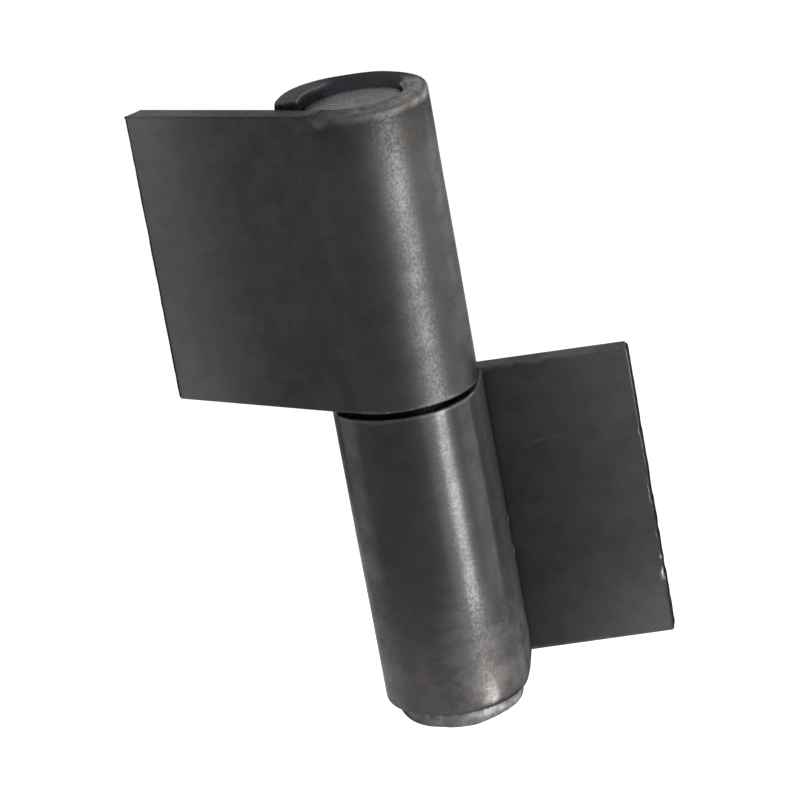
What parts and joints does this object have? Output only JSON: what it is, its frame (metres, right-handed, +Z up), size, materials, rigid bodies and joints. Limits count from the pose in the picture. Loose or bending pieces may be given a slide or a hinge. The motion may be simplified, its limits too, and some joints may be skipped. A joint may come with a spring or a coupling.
{
  "type": "lift-off hinge",
  "caption": "Weld-on lift-off hinge of black hot-rolled steel, with flag-shaped leaves rolled into knuckles; the upper leaf turns on the lower leaf's headed pin and lifts straight off.",
  "frame": {"origin": "on the pin's axis, half way between the two knuckles", "axes": "+Z up along the pin's axis; +X out along the lower leaf; +Y out of the lower leaf's flat back, the face that is welded to the frame"},
  "size_m": [0.0743, 0.0252, 0.1052],
  "materials": {
    "leaf_steel": "hot-rolled strip with its black mill scale left on, unpainted, rubbed brighter at the rims",
    "pin_steel": "blackened round bar, rubbed lighter on its head and plug",
    "ball_steel": "ground and polished bearing steel"
  },
  "bodies": {
    "lower_half": {"leaf_lower": "leaf_steel", "hinge_pin": "pin_steel"},
    "ball": {"thrust_ball": "ball_steel"},
    "upper_half": {"leaf_upper": "leaf_steel", "top_plug": "pin_steel"}
  },
  "joints": [
    {"name": "swing", "type": "hinge", "parent": "lower_half", "child": "ball", "pos_m": [0, 0, 0], "axis": [0, 0, 1], "continuous": true},
    {"name": "lift_off", "type": "slide", "parent": "ball", "child": "upper_half", "axis": [0, 0, 1], "range_m": [0, 0.047]}
  ]
}
